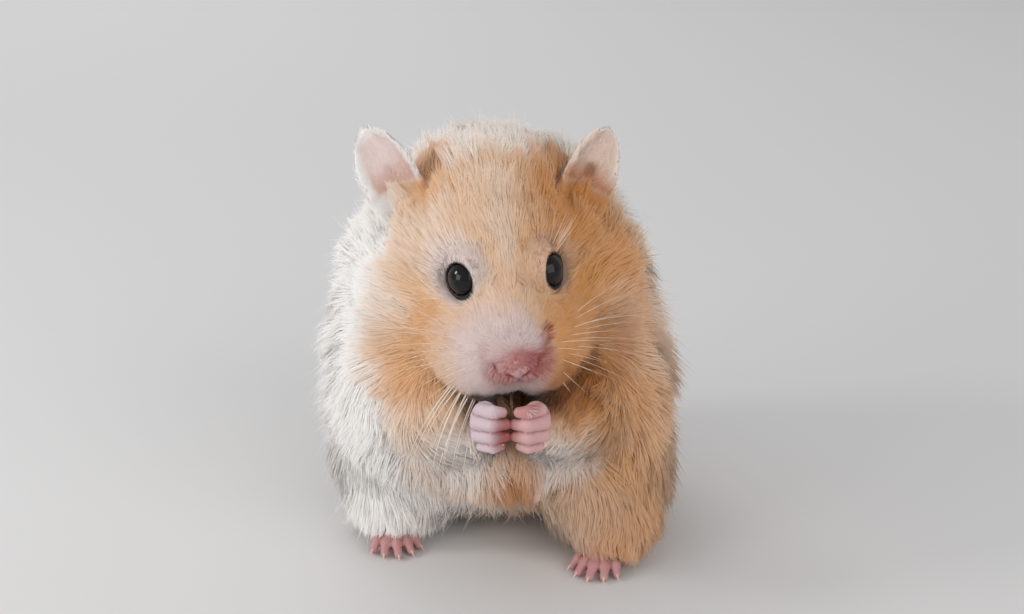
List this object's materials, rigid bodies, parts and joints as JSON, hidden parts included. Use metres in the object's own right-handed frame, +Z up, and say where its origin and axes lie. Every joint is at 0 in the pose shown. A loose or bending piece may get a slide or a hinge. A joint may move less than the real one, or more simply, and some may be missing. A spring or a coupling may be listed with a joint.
{
  "type": "syrian hamster",
  "caption": "Still life-size Syrian hamster sitting up on its haunches, forepaws held to its mouth, for a display or a scene.",
  "frame": {"origin": "centre of the box around the animal, on the floor", "axes": "+Z up, the animal faces -Y, its own left side is +X"},
  "size_m": [0.0778, 0.0932, 0.0906],
  "materials": {
    "coat": "soft golden fur",
    "pale_coat": "soft white fur",
    "bare_skin": "bare pink skin",
    "eye": "wet gloss",
    "claw": "pale horn",
    "whisker": "pale stiff hair"
  },
  "bodies": {
    "root": {"head": "coat", "muzzle": "pale_coat", "jaw": "pale_coat", "nose": "bare_skin", "eye_left": "eye", "eye_right": "eye", "ear_left": "bare_skin", "ear_right": "bare_skin", "neck": "coat", "trunk": "coat", "tail": "bare_skin", "foreleg_left": "coat", "foreleg_right": "coat", "forepaw_left": "bare_skin", "forepaw_right": "bare_skin", "hindleg_left": "coat", "hindleg_right": "coat", "hindfoot_left": "bare_skin", "hindfoot_right": "bare_skin"}
  },
  "joints": []
}
